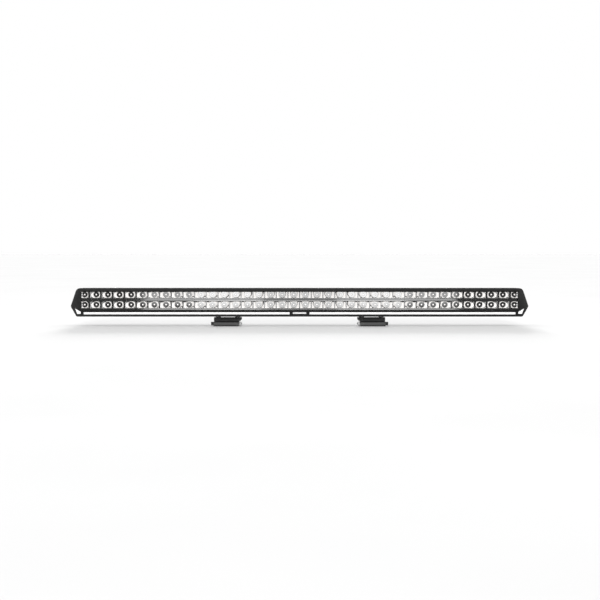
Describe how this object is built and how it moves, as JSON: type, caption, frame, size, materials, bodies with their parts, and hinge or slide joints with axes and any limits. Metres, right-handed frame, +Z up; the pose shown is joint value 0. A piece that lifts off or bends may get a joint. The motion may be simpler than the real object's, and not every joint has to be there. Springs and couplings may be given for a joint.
{
  "type": "led light bar",
  "caption": "Long black vehicle light bar with a double row of reflectors behind one clear lens, a white position-light strip, and two sliding feet that tilt.",
  "frame": {"origin": "middle of the bar, on the surface that its two feet stand on", "axes": "+X along the bar to the right as seen from the front, +Y to the back (the light shines towards -Y), +Z up"},
  "size_m": [1.059, 0.074, 0.089],
  "materials": {
    "coated": "matte",
    "cast": "matte",
    "reflector": "polished",
    "lens": "gloss",
    "diffuser": "satin",
    "rubber": "matte",
    "board": "satin",
    "driver": "satin",
    "steel": "satin",
    "black_steel": "satin",
    "nylon": "matte",
    "badge": "satin"
  },
  "bodies": {
    "bar": {"main_housing": "coated", "front_bezel": "coated", "front_lens": "lens", "lens_gasket": "rubber", "driver_board": "driver", "badge_plate": "badge", "cable_gland_body": "nylon", "cable_gland_seal": "rubber", "cable_gland_nut": "nylon", "breather_vent": "nylon", "reflector_tray_1": "reflector", "led_board_1": "board", "bezel_screw_top_1": "black_steel", "bezel_screw_bottom_1": "black_steel", "reflector_tray_2": "reflector", "led_board_2": "board", "bezel_screw_top_2": "black_steel", "bezel_screw_bottom_2": "black_steel", "reflector_tray_3": "reflector", "led_board_3": "board", "bezel_screw_top_3": "black_steel", "bezel_screw_bottom_3": "black_steel", "reflector_tray_4": "reflector", "led_board_4": "board", "bezel_screw_top_4": "black_steel", "bezel_screw_bottom_4": "black_steel", "left_end_cap": "cast", "left_end_gasket": "rubber", "left_corner_lens": "diffuser", "left_position_diffuser": "diffuser", "left_position_board": "board", "left_end_screw_1": "black_steel", "left_end_screw_2": "black_steel", "left_end_screw_3": "black_steel", "right_end_cap": "cast", "right_end_gasket": "rubber", "right_corner_lens": "diffuser", "right_position_diffuser": "diffuser", "right_position_board": "board", "right_end_screw_1": "black_steel", "right_end_screw_2": "black_steel", "right_end_screw_3": "black_steel"},
    "left_mount": {"left_slide_block": "steel", "left_clamp_spacer": "steel", "left_tilt_bracket": "cast", "left_clamp_screw_1": "steel", "left_clamp_screw_2": "steel"},
    "left_foot_assembly": {"left_foot": "cast", "left_foot_pad": "rubber", "left_pivot_bolt": "black_steel", "left_pivot_nut": "steel"},
    "right_mount": {"right_slide_block": "steel", "right_clamp_spacer": "steel", "right_tilt_bracket": "cast", "right_clamp_screw_1": "steel", "right_clamp_screw_2": "steel"},
    "right_foot_assembly": {"right_foot": "cast", "right_foot_pad": "rubber", "right_pivot_bolt": "black_steel", "right_pivot_nut": "steel"}
  },
  "joints": [
    {"name": "left_mount_slide", "type": "slide", "parent": "bar", "child": "left_mount", "axis": [1, 0, 0], "range_m": [-0.3, 0.12]},
    {"name": "right_mount_slide", "type": "slide", "parent": "bar", "child": "right_mount", "axis": [1, 0, 0], "range_m": [-0.12, 0.3]},
    {"name": "left_foot_tilt", "type": "hinge", "parent": "left_mount", "child": "left_foot_assembly", "pos_m": [-0.1678, 0.002, 0.0047], "axis": [1, 0, 0], "range_deg": [-25, 25]},
    {"name": "right_foot_tilt", "type": "hinge", "parent": "right_mount", "child": "right_foot_assembly", "pos_m": [0.1678, 0.002, 0.0047], "axis": [1, 0, 0], "range_deg": [-25, 25]}
  ],
  "couplings": [
    {"joint": "right_foot_tilt", "follows": "left_foot_tilt", "ratio": 1}
  ]
}
